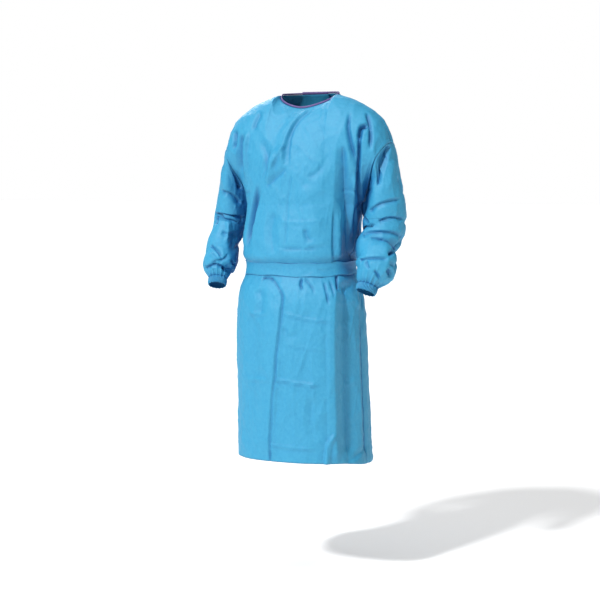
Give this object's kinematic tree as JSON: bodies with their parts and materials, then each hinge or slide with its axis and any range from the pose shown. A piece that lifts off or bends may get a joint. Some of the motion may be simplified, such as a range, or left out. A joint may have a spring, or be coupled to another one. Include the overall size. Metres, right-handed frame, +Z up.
{
  "type": "isolation gown",
  "caption": "Light blue wrap-back isolation gown of thin nonwoven cloth, worn shape, long sleeves with gathered cuffs, violet neck binding and a flat tied belt.",
  "frame": {"origin": "between the shoulders at the base of the neck, where the wearer holds the gown up", "axes": "+Z up, the front faces -Y, the wearer's left is at +X"},
  "size_m": [0.6657, 0.3727, 1.1851],
  "materials": {
    "gown_cloth": "matt nonwoven with a faint sheen",
    "fastener_tape": "matt hook-and-loop tape",
    "binding_tape": "matt folded tape"
  },
  "bodies": {
    "root": {"front_panel": "gown_cloth", "back_panel_left": "gown_cloth", "back_panel_right": "gown_cloth", "sleeve_left": "gown_cloth", "sleeve_right": "gown_cloth", "cuff_left": "gown_cloth", "cuff_right": "gown_cloth", "waist_belt": "gown_cloth", "belt_knot": "gown_cloth", "belt_tail_left": "gown_cloth", "belt_tail_right": "gown_cloth", "neck_fastener": "fastener_tape", "neck_binding": "binding_tape"}
  },
  "joints": []
}
